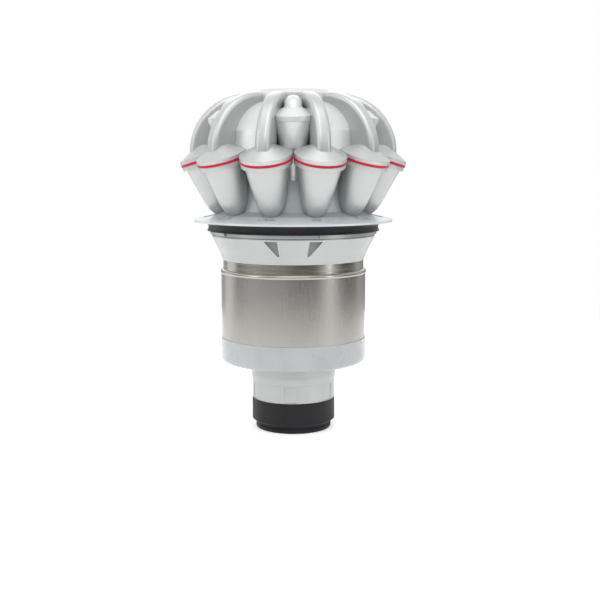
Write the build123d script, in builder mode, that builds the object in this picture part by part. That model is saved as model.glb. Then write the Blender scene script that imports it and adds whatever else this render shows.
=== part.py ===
from build123d import *
from math import cos, radians, sin, tan
import os

# Two-tier radial cyclone pack of a cordless stick vacuum cleaner.
# Millimetres, +Z up. The origin is the centre of the base seal's lower face, on the pack's axis.
# The front (the single inner cyclone between two outer ones) faces -Y, and the air outlet faces +Y.
# Angles round the axis are counted from the front: 0 is -Y, 90 is +X.

os.makedirs("parts", exist_ok=True)

# ---- driving dimensions ------------------------------------------------------

# fine dust tube and the rubber seal on its end
TUBE_R = 24.5
TUBE_BORE_R = 20.5
TUBE_NECK_R = 25.2
TUBE_STEP_Z = 28.7
TUBE_STEP = 0.2
TUBE_WALL = 1.8
KEY_PANELS = 6
KEY_START = -12.5
KEY_ARC = 17.5
KEY_DEPTH = 0.25
TUBE_TOP = 92.0
SPIGOT_R = 22.9
SPIGOT_Z = 5.0
BASE_SEAL_R = 24.7
BASE_SEAL_TOP = 18.4
BASE_LIP_R = 22.4
BASE_LIP_H = 2.2
FUNNEL_WALL = 1.5
FUNNEL_SOCKET = 6.0
FUNNEL_WAIST_Z = 112.5
FUNNEL_RIM_R = 45.9
FUNNEL_TOP = 124.0

# perforated steel shroud and its clear skirt
SKIRT_R = 43.0
SKIRT_BOTTOM = 40.5
SKIRT_WALL = 1.8
SKIRT_ROUND = 3.0
SHROUD_R = 42.6
SHROUD_BOTTOM = 55.0
SHROUD_TOP = 93.0
SHROUD_WALL = 0.6
BEAD_PROUD = 0.35
NECK_R = 41.4
NECK_BOTTOM = 95.6
FLOOR_H = 2.0
FLOOR_DROP = 2.6
CAGE_R = SHROUD_R - SHROUD_WALL
CAGE_RIBS = 12
CAGE_RIB_W = 3.0
CAGE_DEPTH = 1.6
CAGE_END_H = 3.0

# collar between the shroud and the flange
COLLAR_BOTTOM = 101.0
COLLAR_BAND_TOP = 105.0
COLLAR_R = 41.5
COLLAR_BREAK_R = 42.9
COLLAR_INNER_R = 39.5
COLLAR_SHOULDER_R = 47.9
COLLAR_SHOULDER_Z = 115.0
COLLAR_LIP_R = 48.9
COLLAR_LIP_H = 1.8
COLLAR_GROOVE_H = 0.7
COLLAR_WALL = 1.8
PANEL_TOP_W = 18.0
PANEL_BOTTOM_W = 14.7
POCKET_W = 7.6
POCKET_DEPTH = 6.5
POCKET_DRAFT = 3.0
POCKET_MARGIN = 0.6
POCKET_TIP_W = 1.6
FRONT_SOLID_ARC = 50.0
CLIP_COUNT = 5
CLIP_START = -116.7
CLIP_PITCH = 66.0
CLIP_W = 3.2
CLIP_DEPTH = 1.2

# bin seal and flange disc
SEAL_BOTTOM = 118.0
SEAL_TOP = 123.3
SEAL_SEAT_R = 48.0
SEAL_MID_R = 49.9
SEAL_LOW_LIP_R = 50.5
SEAL_TOP_LIP_R = 51.9
FLANGE_R = 58.1
FLANGE_RIM_H = 1.2
FLANGE_HUB_R = 45.6
FLANGE_HUB_Z = 127.6
FLANGE_WALL = 2.0
SEAT_INNER_R = 52.3
SEAT_RELIEF = 0.3
RECESS_R = 5.2
RECESS_RHO = 50.2
RECESS_FLOOR_Z = 125.7

# outer ring of cyclones
OUTER_COUNT = 10
OUTER_PITCH = 33.0
OUTER_RHO = 51.3
OUTER_Z = 159.5
OUTER_TILT = 18.5
RIM_R = 14.5
GASKET_H = 1.4
GASKET_PROUD = 0.05
GASKET_BORE_R = 10.0
BAND_R = 14.2
BAND_H = 2.4
CONE_TOP_R = 12.4
CONE_END_R = 8.3
CONE_END_H = 25.0
CONE_NOSE_R = 3.6
CONE_NOSE_H = 33.4
CONE_NOSE_MID = (6.7, -29.2)
CONE_WALL = 1.4
DUST_HOLE_R = 2.5
CAP_BAND_H = 2.0
CAP_SLOPE = 26.0
CAP_BORE_R = 9.8

# arched ducts that carry clean air from the outer cyclones to the drum
FIN_W = 8.2
FIN_EDGE_R = 2.7
FIN_CENTRE_RHO = 26.8
FIN_CENTRE_Z = 163.5
FIN_OUTER_R = 33.3
FIN_PASSAGE_R = 2.6
FIN_PASSAGE_ARC_R = 29.2

# inner ring of cyclones
INNER_COUNT = 5
INNER_PITCH = 66.0
INNER_RHO = 40.3
INNER_Z = 181.0
INNER_TILT = 10.0
INNER_RIM_R = 11.3
INNER_CONE_R = 11.0
INNER_HALF_ANGLE = 11.8
INNER_NECK_R = 4.6
INNER_LENGTH = 33.0
INNER_BAND_H = 2.7
INNER_CAP_H = 3.7
FINGER_R = 5.1
FINGER_WALL = 1.4
FINGER_TOP = 194.2
FINGER_BEND = 6.0

# vortex finders
FINDER_R = 4.8
FINDER_WALL = 1.0
FINDER_PLATE_R = 10.6
FINDER_PLATE_H = 1.0
OUTER_FINDER_L = 13.0
INNER_FINDER_L = 11.0
INNER_FINDER_PLATE_R = 10.2

# carrier behind the cones
CARRIER_TOP = 152.0
CARRIER_TOP_R = 38.0
CARRIER_MID_R = 41.0
CARRIER_MID_Z = 130.0
CARRIER_WALL = 2.5
CARRIER_FOOT_W = 2.2
CARRIER_DECK_H = 2.0

# manifold drum with the filter bore, and the four hollow covers of the dome
DRUM_R = 26.5
DRUM_TOP = 198.5
DRUM_FLAT_R = 23.7
DRUM_CHAMFER_Z = 196.2
FILTER_BORE_R = 21.7
WELL_R = 24.5
WELL_TOP = 181.0
MANIFOLD_BOTTOM = 156.0
DOME_FOOT = (46.2, 164.5)
DOME_WAIST = (45.2, 175.0)
DOME_SHOULDER = (37.8, 185.8)
COVER_WALL = 2.0
COVER_END = 3.0
COVER_FOOT_Z = 161.0
COVER_CROWN_Z = 191.6

# filter well
SLEEVE_BOTTOM = 104.0
SLEEVE_WALL = 1.6
SLEEVE_R = WELL_R + SLEEVE_WALL

# outlet duct, its flange and gasket
OUTLET_Z = 171.5
OUTLET_BORE_R = 11.5
OUTLET_R = 13.0
PLATE_FRONT_Y = 57.0
PLATE_H = 4.0
PLATE_SIZE = 40.0
PLATE_CORNER_R = 6.0
HOLE_PITCH = 31.0
HOLE_R = 1.7
OUTLET_PORT_R = 12.4
OUTLET_GASKET_H = 2.1
OUTLET_GASKET_PROUD = 1.5
GASKET_RING_R = 15.5
GASKET_RECESS_R = 15.9

# spine that ties the outlet flange to the main flange
SPINE_W = 16.0
SPINE_REAR_Y = 57.0
SPINE_FRONT_Y = 47.0
SPINE_SCREW_R = 1.5
SPINE_SCREW_HEAD_R = 2.8
SPINE_WEB = 5.0
SPINE_FOOT_TOP = 129.0
SCREW_X = 5.6
SCREW_Y = 52.5
SCREW_FLOOR = 0.8
SCREW_HEAD_H = 1.6
SCREW_SOCKET_R = 1.3

# lift-out filter
FILTER_CAP_R = 21.3
FILTER_CAP_BOTTOM = 195.6
FILTER_CAP_TOP = 198.2
FILTER_CAP_DISH_R = 17.5
FILTER_CAP_FLOOR = 1.0
GRIP_W = 5.0
FILTER_RING_H = 1.6
SEAL_GROOVE = 1.2
FILTER_RING_R = 21.0
FILTER_POSTS = 8
FILTER_POST_W = 2.4
FILTER_NECK_TOP = 185.0
FILTER_NECK_BOTTOM = 182.0
FILTER_SEAL_R = 21.5
CAGE_INNER_R = 16.9
CAGE_OUTER_R = 18.2
CAGE_BOTTOM = 112.0
CAGE_RING_H = 2.5
SOCK_R = 20.0
SOCK_WALL = 1.7
SOCK_BOTTOM = 109.5
SOCK_ROUND = 1.5

AZIMUTHS_OUTER = [OUTER_PITCH * (i - (OUTER_COUNT - 1) / 2) for i in range(OUTER_COUNT)]
AZIMUTHS_INNER = [INNER_PITCH * (i - (INNER_COUNT - 1) / 2) for i in range(INNER_COUNT)]
COVER_STARTS = [azimuth + OUTER_PITCH / 2 for azimuth in AZIMUTHS_INNER[:-1]]

FINGER_Z = FINGER_TOP - FINGER_R
GASKET_HALF = GASKET_H / 2
CAP_APEX_H = GASKET_HALF + CAP_BAND_H + RIM_R * tan(radians(CAP_SLOPE))


def radial_plane(rho=0.0, z=0.0, tilt=0.0, azimuth=0.0):
    """Upright plane through the Z axis: x runs outward and y upward, both leaning out by the tilt."""
    lean = radians(tilt)
    turn = radians(azimuth)
    outward = Vector(sin(turn), -cos(turn), 0)
    return Plane(
        origin=outward * rho + Vector(0, 0, z),
        x_dir=outward * cos(lean) - Vector(0, 0, sin(lean)),
        z_dir=(-cos(turn), -sin(turn), 0),
    )


def spin_axis(plane):
    """Axis of a cyclone whose half section lies in the given plane."""
    return Axis(plane.origin, plane.y_dir)


SECTION = radial_plane()
OUTER_PLANE = radial_plane(OUTER_RHO, OUTER_Z, OUTER_TILT)
INNER_PLANE = radial_plane(INNER_RHO, INNER_Z, INNER_TILT)
OUTER_AXIS = spin_axis(OUTER_PLANE)
INNER_AXIS = spin_axis(INNER_PLANE)


def save(builder, name):
    """Labels a finished piece and writes it."""
    builder.part.label = name
    export_step(builder.part, f"parts/{name}.step")


# ---- shapes used only for cutting neighbours to fit --------------------------

# finger that bends from an inner cyclone's cap to the drum: its outside and its bore
FINGER_BEND_RHO = INNER_RHO - FINGER_BEND
FINGER_BEND_Z = FINGER_Z - FINGER_BEND
fingers = []
for radius in (FINGER_R, FINGER_R - FINGER_WALL):
    with BuildPart() as finger:
        with BuildSketch(Plane.XY.offset(INNER_Z + INNER_BAND_H)):
            with Locations((0, -INNER_RHO)):
                Circle(radius)
        extrude(amount=FINGER_BEND_Z - INNER_Z - INNER_BAND_H)
        with BuildSketch(Plane.XY.offset(FINGER_BEND_Z)):
            with Locations((0, -INNER_RHO)):
                Circle(radius)
        revolve(axis=Axis((0, -FINGER_BEND_RHO, FINGER_BEND_Z), (1, 0, 0)), revolution_arc=-90)
        with BuildSketch(Plane(origin=(0, -FINGER_BEND_RHO, FINGER_Z), x_dir=(1, 0, 0), z_dir=(0, 1, 0))):
            Circle(radius)
        extrude(amount=FINGER_BEND_RHO)
    fingers.append(finger.part)
finger_outside, finger_bore = fingers

# outside of one inner cyclone: cone, cap and finger
INNER_NECK_H = (INNER_CONE_R - INNER_NECK_R) / tan(radians(INNER_HALF_ANGLE))
FINGER_BASE_H = INNER_BAND_H + INNER_CAP_H
with BuildPart() as inner_body:
    with BuildSketch(INNER_PLANE):
        with BuildLine():
            Polyline(
                (0, -INNER_LENGTH),
                (INNER_NECK_R, -INNER_LENGTH),
                (INNER_NECK_R, -INNER_NECK_H),
                (INNER_CONE_R, 0),
                (INNER_RIM_R, 0),
                (INNER_RIM_R, INNER_BAND_H),
                (FINGER_R, FINGER_BASE_H),
                (0, FINGER_BASE_H),
                close=True,
            )
        make_face()
    revolve(axis=INNER_AXIS)
    add(finger_outside)

# outside of one outer cyclone: nose, cone, band, gasket and cap
with BuildPart() as outer_body:
    with BuildSketch(OUTER_PLANE):
        with BuildLine():
            Polyline(
                (0, CAP_APEX_H),
                (RIM_R, GASKET_HALF + CAP_BAND_H),
                (RIM_R, GASKET_HALF),
                (RIM_R + GASKET_PROUD, GASKET_HALF),
                (RIM_R + GASKET_PROUD, -GASKET_HALF),
                (BAND_R, -GASKET_HALF),
                (BAND_R, -GASKET_HALF - BAND_H),
                (CONE_TOP_R, -GASKET_HALF - BAND_H),
                (CONE_END_R, -CONE_END_H),
            )
            ThreePointArc((CONE_END_R, -CONE_END_H), CONE_NOSE_MID, (CONE_NOSE_R, -CONE_NOSE_H))
            Polyline((CONE_NOSE_R, -CONE_NOSE_H), (0, -CONE_NOSE_H), (0, CAP_APEX_H))
        make_face()
    revolve(axis=OUTER_AXIS)

# outside of the drum and of the dome that the ducts lean on
with BuildPart() as dome_body:
    with BuildSketch(SECTION):
        with BuildLine():
            Polyline(
                (DRUM_R, COVER_CROWN_Z),
                (DRUM_R, DRUM_CHAMFER_Z),
                (DRUM_FLAT_R, DRUM_TOP),
                (0, DRUM_TOP),
                (0, MANIFOLD_BOTTOM),
                (DOME_FOOT[0], MANIFOLD_BOTTOM),
                (DOME_FOOT[0], COVER_FOOT_Z),
                DOME_WAIST,
            )
            ThreePointArc(DOME_WAIST, DOME_SHOULDER, (DRUM_R, COVER_CROWN_Z))
        make_face()
    revolve(axis=Axis.Z)

# ---- fine dust tube, base seal and dust funnel -------------------------------

with BuildPart() as dust_tube:
    with BuildSketch(SECTION):
        with BuildLine():
            Polyline(
                (TUBE_BORE_R, SPIGOT_Z),
                (SPIGOT_R, SPIGOT_Z),
                (SPIGOT_R, BASE_SEAL_TOP),
                (TUBE_R, BASE_SEAL_TOP),
                (TUBE_R, TUBE_STEP_Z),
                (TUBE_R + TUBE_STEP, TUBE_STEP_Z),
                (TUBE_NECK_R, TUBE_STEP_Z + 4),
                (TUBE_NECK_R, TUBE_TOP),
                (TUBE_NECK_R - TUBE_WALL, TUBE_TOP),
                (TUBE_NECK_R - TUBE_WALL, TUBE_STEP_Z),
                (TUBE_BORE_R, BASE_SEAL_TOP),
                close=True,
            )
        make_face()
    revolve(axis=Axis.Z)
    for i in range(KEY_PANELS):
        with BuildSketch(radial_plane(azimuth=KEY_START + 360 / KEY_PANELS * i)):
            with Locations((TUBE_R, (BASE_SEAL_TOP + TUBE_STEP_Z) / 2)):
                Rectangle(2 * KEY_DEPTH, TUBE_STEP_Z - BASE_SEAL_TOP - 1)
        revolve(axis=Axis.Z, revolution_arc=KEY_ARC, mode=Mode.SUBTRACT)
save(dust_tube, "dust_tube")

with BuildPart() as base_seal:
    with BuildSketch(SECTION):
        with BuildLine():
            Polyline(
                (TUBE_BORE_R, 0),
                (BASE_LIP_R - 0.6, 0),
                (BASE_LIP_R, 0.6),
                (BASE_LIP_R, BASE_LIP_H),
                (BASE_LIP_R - 0.6, BASE_LIP_H + 0.5),
                (BASE_LIP_R - 0.6, BASE_LIP_H + 1.1),
                (BASE_SEAL_R, BASE_LIP_H + 3.4),
                (BASE_SEAL_R, BASE_SEAL_TOP),
                (SPIGOT_R, BASE_SEAL_TOP),
                (SPIGOT_R, SPIGOT_Z),
                (TUBE_BORE_R, SPIGOT_Z),
                close=True,
            )
        make_face()
    revolve(axis=Axis.Z)
save(base_seal, "base_seal")

with BuildPart() as dust_funnel:
    with BuildSketch(SECTION):
        with BuildLine():
            Polyline(
                (TUBE_NECK_R, TUBE_TOP - FUNNEL_SOCKET),
                (TUBE_NECK_R + FUNNEL_WALL, TUBE_TOP - FUNNEL_SOCKET),
                (TUBE_NECK_R + FUNNEL_WALL, TUBE_TOP + 3),
                (COLLAR_INNER_R, FUNNEL_WAIST_Z),
                (COLLAR_INNER_R, SEAL_BOTTOM),
                (FUNNEL_RIM_R, SEAL_BOTTOM + 2.4),
                (FUNNEL_RIM_R, FUNNEL_TOP),
                (FUNNEL_RIM_R - FUNNEL_WALL, FUNNEL_TOP),
                (FUNNEL_RIM_R - FUNNEL_WALL, SEAL_BOTTOM + 3.4),
                (COLLAR_INNER_R - FUNNEL_WALL, SEAL_BOTTOM + 1),
                (COLLAR_INNER_R - FUNNEL_WALL, FUNNEL_WAIST_Z + 0.5),
                (TUBE_NECK_R, TUBE_TOP + 3.5),
                close=True,
            )
        make_face()
    revolve(axis=Axis.Z)
save(dust_funnel, "dust_funnel")

# ---- shroud ------------------------------------------------------------------

with BuildPart() as shroud_skirt:
    with BuildSketch(SECTION):
        with BuildLine():
            Line((SKIRT_R, SKIRT_BOTTOM + SKIRT_ROUND), (SKIRT_R, SHROUD_BOTTOM))
            Line((SKIRT_R, SHROUD_BOTTOM), (SKIRT_R - SKIRT_WALL, SHROUD_BOTTOM))
            Line((SKIRT_R - SKIRT_WALL, SHROUD_BOTTOM), (SKIRT_R - SKIRT_WALL, SKIRT_BOTTOM + SKIRT_ROUND))
            CenterArc((SKIRT_R - SKIRT_ROUND, SKIRT_BOTTOM + SKIRT_ROUND), SKIRT_ROUND - SKIRT_WALL, 0, -90)
            Line(
                (SKIRT_R - SKIRT_ROUND, SKIRT_BOTTOM + SKIRT_WALL),
                (SKIRT_R - SKIRT_ROUND, SKIRT_BOTTOM),
            )
            CenterArc((SKIRT_R - SKIRT_ROUND, SKIRT_BOTTOM + SKIRT_ROUND), SKIRT_ROUND, 270, 90)
        make_face()
    revolve(axis=Axis.Z)
save(shroud_skirt, "shroud_skirt")

with BuildPart() as shroud_floor:
    with BuildSketch(Plane.XY.offset(SHROUD_BOTTOM - FLOOR_DROP)):
        Circle(SKIRT_R - SKIRT_WALL)
        Circle(TUBE_NECK_R, mode=Mode.SUBTRACT)
    extrude(amount=FLOOR_H)
save(shroud_floor, "shroud_floor")


with BuildPart() as shroud_cage:
    for bottom in (SHROUD_BOTTOM, SHROUD_TOP - CAGE_END_H):
        with BuildSketch(Plane.XY.offset(bottom)):
            Circle(CAGE_R)
            Circle(CAGE_R - CAGE_DEPTH, mode=Mode.SUBTRACT)
        extrude(amount=CAGE_END_H)
    with BuildSketch(Plane.XY.offset(SHROUD_BOTTOM)):
        with PolarLocations(CAGE_R - CAGE_DEPTH / 2, CAGE_RIBS):
            Rectangle(CAGE_DEPTH - 0.1, CAGE_RIB_W)
    extrude(amount=SHROUD_TOP - SHROUD_BOTTOM)
save(shroud_cage, "shroud_cage")

with BuildPart() as shroud_mesh:
    with BuildSketch(Plane.XY.offset(SHROUD_BOTTOM)):
        Circle(SHROUD_R)
        Circle(CAGE_R, mode=Mode.SUBTRACT)
    extrude(amount=SHROUD_TOP - SHROUD_BOTTOM)
save(shroud_mesh, "shroud_mesh")

with BuildPart() as shroud_band:
    with BuildSketch(SECTION):
        with BuildLine():
            ThreePointArc(
                (SHROUD_R, SHROUD_TOP),
                (SHROUD_R + BEAD_PROUD, (SHROUD_TOP + NECK_BOTTOM) / 2),
                (NECK_R, NECK_BOTTOM),
            )
            Polyline(
                (NECK_R, NECK_BOTTOM),
                (NECK_R, COLLAR_BOTTOM),
                (NECK_R - SHROUD_WALL, COLLAR_BOTTOM),
                (NECK_R - SHROUD_WALL, NECK_BOTTOM - SHROUD_WALL),
                (CAGE_R, SHROUD_TOP),
                (SHROUD_R, SHROUD_TOP),
            )
        make_face()
    revolve(axis=Axis.Z)
save(shroud_band, "shroud_band")

# ---- collar ------------------------------------------------------------------

# tapered pockets either side of the front panel
with BuildPart() as pockets:
    with BuildSketch(Plane(origin=(0, -COLLAR_SHOULDER_R, 0), x_dir=(1, 0, 0), z_dir=(0, -1, 0))):
        for side in (-1, 1):
            with BuildLine():
                Polyline(
                    (side * PANEL_TOP_W / 2, COLLAR_SHOULDER_Z - POCKET_MARGIN),
                    (side * (PANEL_TOP_W / 2 + POCKET_W), COLLAR_SHOULDER_Z - POCKET_MARGIN),
                    (side * (PANEL_BOTTOM_W / 2 + POCKET_TIP_W), COLLAR_BAND_TOP + POCKET_MARGIN),
                    (side * PANEL_BOTTOM_W / 2, COLLAR_BAND_TOP + POCKET_MARGIN),
                    close=True,
                )
            make_face()
    extrude(amount=-POCKET_DEPTH, taper=POCKET_DRAFT)

COLLAR_LIP_TOP = SEAL_BOTTOM
COLLAR_LIP_BOTTOM = COLLAR_LIP_TOP - COLLAR_LIP_H
HOLLOW_R = COLLAR_INNER_R + COLLAR_WALL
with BuildPart() as collar:
    with BuildSketch(SECTION):
        with BuildLine():
            Polyline(
                (COLLAR_INNER_R, COLLAR_BOTTOM),
                (COLLAR_R, COLLAR_BOTTOM),
                (COLLAR_BREAK_R, COLLAR_BAND_TOP),
                (COLLAR_SHOULDER_R, COLLAR_SHOULDER_Z),
                (COLLAR_SHOULDER_R, COLLAR_LIP_BOTTOM - COLLAR_GROOVE_H),
                (COLLAR_SHOULDER_R - COLLAR_GROOVE_H, COLLAR_LIP_BOTTOM - COLLAR_GROOVE_H),
                (COLLAR_SHOULDER_R - COLLAR_GROOVE_H, COLLAR_LIP_BOTTOM),
                (COLLAR_LIP_R, COLLAR_LIP_BOTTOM),
                (COLLAR_LIP_R, COLLAR_LIP_TOP),
                (COLLAR_INNER_R, COLLAR_LIP_TOP),
                close=True,
            )
        make_face()
    revolve(axis=Axis.Z)
    with BuildSketch(radial_plane(azimuth=FRONT_SOLID_ARC / 2)):
        with BuildLine():
            Polyline(
                (HOLLOW_R, COLLAR_BAND_TOP + COLLAR_WALL),
                (COLLAR_SHOULDER_R - 1.2 * COLLAR_WALL, COLLAR_SHOULDER_Z),
                (COLLAR_SHOULDER_R - 1.2 * COLLAR_WALL, COLLAR_LIP_BOTTOM),
                (HOLLOW_R, COLLAR_LIP_BOTTOM),
                close=True,
            )
        make_face()
    revolve(axis=Axis.Z, revolution_arc=360 - FRONT_SOLID_ARC, mode=Mode.SUBTRACT)
    add(pockets.part, mode=Mode.SUBTRACT)
    for i in range(CLIP_COUNT):
        with BuildSketch(Plane.XY.offset(COLLAR_LIP_BOTTOM)):
            with PolarLocations(COLLAR_LIP_R, 1, start_angle=CLIP_START + CLIP_PITCH * i - 90):
                Rectangle(2 * CLIP_DEPTH, CLIP_W)
        extrude(amount=COLLAR_LIP_H, mode=Mode.SUBTRACT)
save(collar, "collar")

# ---- bin seal and flange -----------------------------------------------------

with BuildPart() as bin_seal:
    with BuildSketch(SECTION):
        with BuildLine():
            Polyline(
                (SEAL_SEAT_R, SEAL_BOTTOM),
                (SEAL_LOW_LIP_R, SEAL_BOTTOM),
                (SEAL_LOW_LIP_R, SEAL_BOTTOM + 0.5),
                (SEAL_MID_R, SEAL_BOTTOM + 1.3),
                (SEAL_MID_R, SEAL_TOP - 2.0),
                (SEAL_TOP_LIP_R, SEAL_TOP - 0.8),
                (SEAL_TOP_LIP_R, SEAL_TOP),
                (SEAL_SEAT_R, SEAL_TOP),
                close=True,
            )
        make_face()
    revolve(axis=Axis.Z)
save(bin_seal, "bin_seal")

with BuildPart() as flange_plate:
    with BuildSketch(SECTION):
        with BuildLine():
            Polyline(
                (FLANGE_R, SEAL_TOP),
                (FLANGE_R, SEAL_TOP + FLANGE_RIM_H),
                (FLANGE_HUB_R, FLANGE_HUB_Z),
                (FLANGE_HUB_R, FLANGE_HUB_Z - FLANGE_WALL),
                (SEAL_SEAT_R - FLANGE_WALL, FLANGE_HUB_Z - 1.4 * FLANGE_WALL),
                (SEAL_SEAT_R - FLANGE_WALL, SEAL_BOTTOM),
                (SEAL_SEAT_R, SEAL_BOTTOM),
                (SEAL_SEAT_R, SEAL_TOP + SEAT_RELIEF),
                (SEAT_INNER_R, SEAL_TOP + SEAT_RELIEF),
                (SEAT_INNER_R, SEAL_TOP),
                close=True,
            )
        make_face()
    revolve(axis=Axis.Z)
    for azimuth in AZIMUTHS_OUTER:
        with BuildSketch(Plane.XY.offset(RECESS_FLOOR_Z)):
            with PolarLocations(RECESS_RHO, 1, start_angle=azimuth - 90):
                Circle(RECESS_R)
        extrude(amount=2 * FLANGE_WALL, mode=Mode.SUBTRACT)
    with BuildSketch(Plane.XY.offset(SEAL_TOP + SCREW_FLOOR)):
        with Locations((-SCREW_X, SCREW_Y), (SCREW_X, SCREW_Y)):
            Circle(SPINE_SCREW_R)
    extrude(amount=2 * FLANGE_WALL, mode=Mode.SUBTRACT)
save(flange_plate, "flange_plate")

# ---- cyclones ----------------------------------------------------------------

with BuildPart() as cone_carrier:
    with BuildSketch(SECTION):
        with BuildLine():
            Polyline(
                (SLEEVE_R, CARRIER_TOP),
                (CARRIER_TOP_R, CARRIER_TOP),
                (CARRIER_MID_R, CARRIER_MID_Z),
                (FLANGE_HUB_R, FLANGE_HUB_Z),
                (FLANGE_HUB_R, FUNNEL_TOP),
                (FLANGE_HUB_R - CARRIER_FOOT_W, FUNNEL_TOP),
                (FLANGE_HUB_R - CARRIER_FOOT_W, FLANGE_HUB_Z - FLANGE_WALL),
                (CARRIER_MID_R - CARRIER_WALL, CARRIER_MID_Z - 0.5),
                (CARRIER_TOP_R - CARRIER_WALL, CARRIER_TOP - CARRIER_DECK_H),
                (SLEEVE_R, CARRIER_TOP - CARRIER_DECK_H),
                close=True,
            )
        make_face()
    revolve(axis=Axis.Z)
    for azimuth in AZIMUTHS_OUTER:
        add(outer_body.part, rotation=(0, 0, azimuth), mode=Mode.SUBTRACT)
    for azimuth in AZIMUTHS_INNER:
        add(inner_body.part, rotation=(0, 0, azimuth), mode=Mode.SUBTRACT)
save(cone_carrier, "cone_carrier")

# one outer cone at the front, before it is notched for its inner neighbour
with BuildPart() as outer_shell:
    with BuildSketch(OUTER_PLANE):
        with BuildLine():
            Polyline(
                (CONE_TOP_R - CONE_WALL, -GASKET_HALF),
                (BAND_R, -GASKET_HALF),
                (BAND_R, -GASKET_HALF - BAND_H),
                (CONE_TOP_R, -GASKET_HALF - BAND_H),
                (CONE_END_R, -CONE_END_H),
            )
            ThreePointArc((CONE_END_R, -CONE_END_H), CONE_NOSE_MID, (CONE_NOSE_R, -CONE_NOSE_H))
            Polyline(
                (CONE_NOSE_R, -CONE_NOSE_H),
                (DUST_HOLE_R, -CONE_NOSE_H),
                (DUST_HOLE_R, -CONE_NOSE_H + 1.5),
                (CONE_END_R - 1.4 * CONE_WALL, -CONE_END_H),
                (CONE_TOP_R - CONE_WALL, -GASKET_HALF - BAND_H),
                (CONE_TOP_R - CONE_WALL, -GASKET_HALF),
            )
        make_face()
    revolve(axis=OUTER_AXIS)

for i, azimuth in enumerate(AZIMUTHS_OUTER):
    with BuildPart() as outer_cone:
        add(outer_shell.part, rotation=(0, 0, azimuth))
        add(inner_body.part, rotation=(0, 0, AZIMUTHS_INNER[i // 2]), mode=Mode.SUBTRACT)
    save(outer_cone, f"outer_cone_{i + 1:02d}")

with BuildPart() as inner_shell:
    with BuildSketch(INNER_PLANE):
        with BuildLine():
            Polyline(
                (INNER_NECK_R - CONE_WALL, -INNER_LENGTH),
                (INNER_NECK_R, -INNER_LENGTH),
                (INNER_NECK_R, -INNER_NECK_H),
                (INNER_CONE_R, 0),
                (INNER_CONE_R - CONE_WALL, 0),
                (INNER_NECK_R - CONE_WALL, -INNER_NECK_H),
                close=True,
            )
        make_face()
    revolve(axis=INNER_AXIS)

for i, azimuth in enumerate(AZIMUTHS_INNER):
    with BuildPart() as inner_cone:
        add(inner_shell.part, rotation=(0, 0, azimuth))
    save(inner_cone, f"inner_cone_{i + 1}")

# ---- seals and vortex finders between cones and caps -------------------------

with BuildPart() as cap_gasket:
    for i, azimuth in enumerate(AZIMUTHS_OUTER):
        lobe_plane = radial_plane(OUTER_RHO, OUTER_Z, OUTER_TILT, azimuth)
        with BuildSketch(lobe_plane):
            with Locations(((GASKET_BORE_R + RIM_R + GASKET_PROUD) / 2, 0)):
                Rectangle(RIM_R + GASKET_PROUD - GASKET_BORE_R, GASKET_H)
        revolve(axis=spin_axis(lobe_plane))
    for azimuth in AZIMUTHS_INNER:
        add(inner_body.part, rotation=(0, 0, azimuth), mode=Mode.SUBTRACT)
save(cap_gasket, "cap_gasket")

# a flanged tube hanging from the cap, one for each cyclone of a ring
OUTER_RING = (AZIMUTHS_OUTER, OUTER_RHO, OUTER_Z, OUTER_TILT)
INNER_RING = (AZIMUTHS_INNER, INNER_RHO, INNER_Z, INNER_TILT)
for name, ring, plate_r, seat_h, length in (
    ("outer_vortex_finders", OUTER_RING, FINDER_PLATE_R, GASKET_HALF, OUTER_FINDER_L),
    ("inner_vortex_finders", INNER_RING, INNER_FINDER_PLATE_R, 0, INNER_FINDER_L),
):
    with BuildPart() as finders:
        for azimuth in ring[0]:
            finder_plane = radial_plane(*ring[1:], azimuth)
            with BuildSketch(finder_plane):
                with BuildLine():
                    Polyline(
                        (FINDER_R - FINDER_WALL, seat_h + FINDER_PLATE_H),
                        (plate_r, seat_h + FINDER_PLATE_H),
                        (plate_r, seat_h),
                        (FINDER_R, seat_h),
                        (FINDER_R, seat_h - length),
                        (FINDER_R - FINDER_WALL, seat_h - length),
                        close=True,
                    )
                make_face()
            revolve(axis=spin_axis(finder_plane))
    save(finders, name)

# ---- outlet duct, spine ------------------------------------------------------

OUTLET_PLANE = Plane(origin=(0, 0, OUTLET_Z), x_dir=(-1, 0, 0), z_dir=(0, 1, 0))
GASKET_FLOOR_Y = PLATE_FRONT_Y + PLATE_H + OUTLET_GASKET_PROUD - OUTLET_GASKET_H
with BuildPart() as outlet_duct:
    with BuildSketch(OUTLET_PLANE):
        Circle(OUTLET_R)
    extrude(amount=PLATE_FRONT_Y)
    with BuildSketch(OUTLET_PLANE.offset(PLATE_FRONT_Y)):
        RectangleRounded(PLATE_SIZE, PLATE_SIZE, PLATE_CORNER_R)
    extrude(amount=PLATE_H)
    with BuildSketch(Plane.XY.offset(MANIFOLD_BOTTOM)):
        Circle(DRUM_R)
    extrude(amount=DRUM_TOP - MANIFOLD_BOTTOM, mode=Mode.SUBTRACT)
    with BuildSketch(OUTLET_PLANE):
        Circle(OUTLET_BORE_R)
    extrude(amount=PLATE_FRONT_Y + PLATE_H, mode=Mode.SUBTRACT)
    with BuildSketch(OUTLET_PLANE.offset(PLATE_FRONT_Y)):
        with GridLocations(HOLE_PITCH, HOLE_PITCH, 2, 2):
            Circle(HOLE_R)
    extrude(amount=PLATE_H, mode=Mode.SUBTRACT)
    with BuildSketch(OUTLET_PLANE.offset(GASKET_FLOOR_Y)):
        Circle(GASKET_RECESS_R)
    extrude(amount=OUTLET_GASKET_H, mode=Mode.SUBTRACT)
save(outlet_duct, "outlet_duct")

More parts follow.
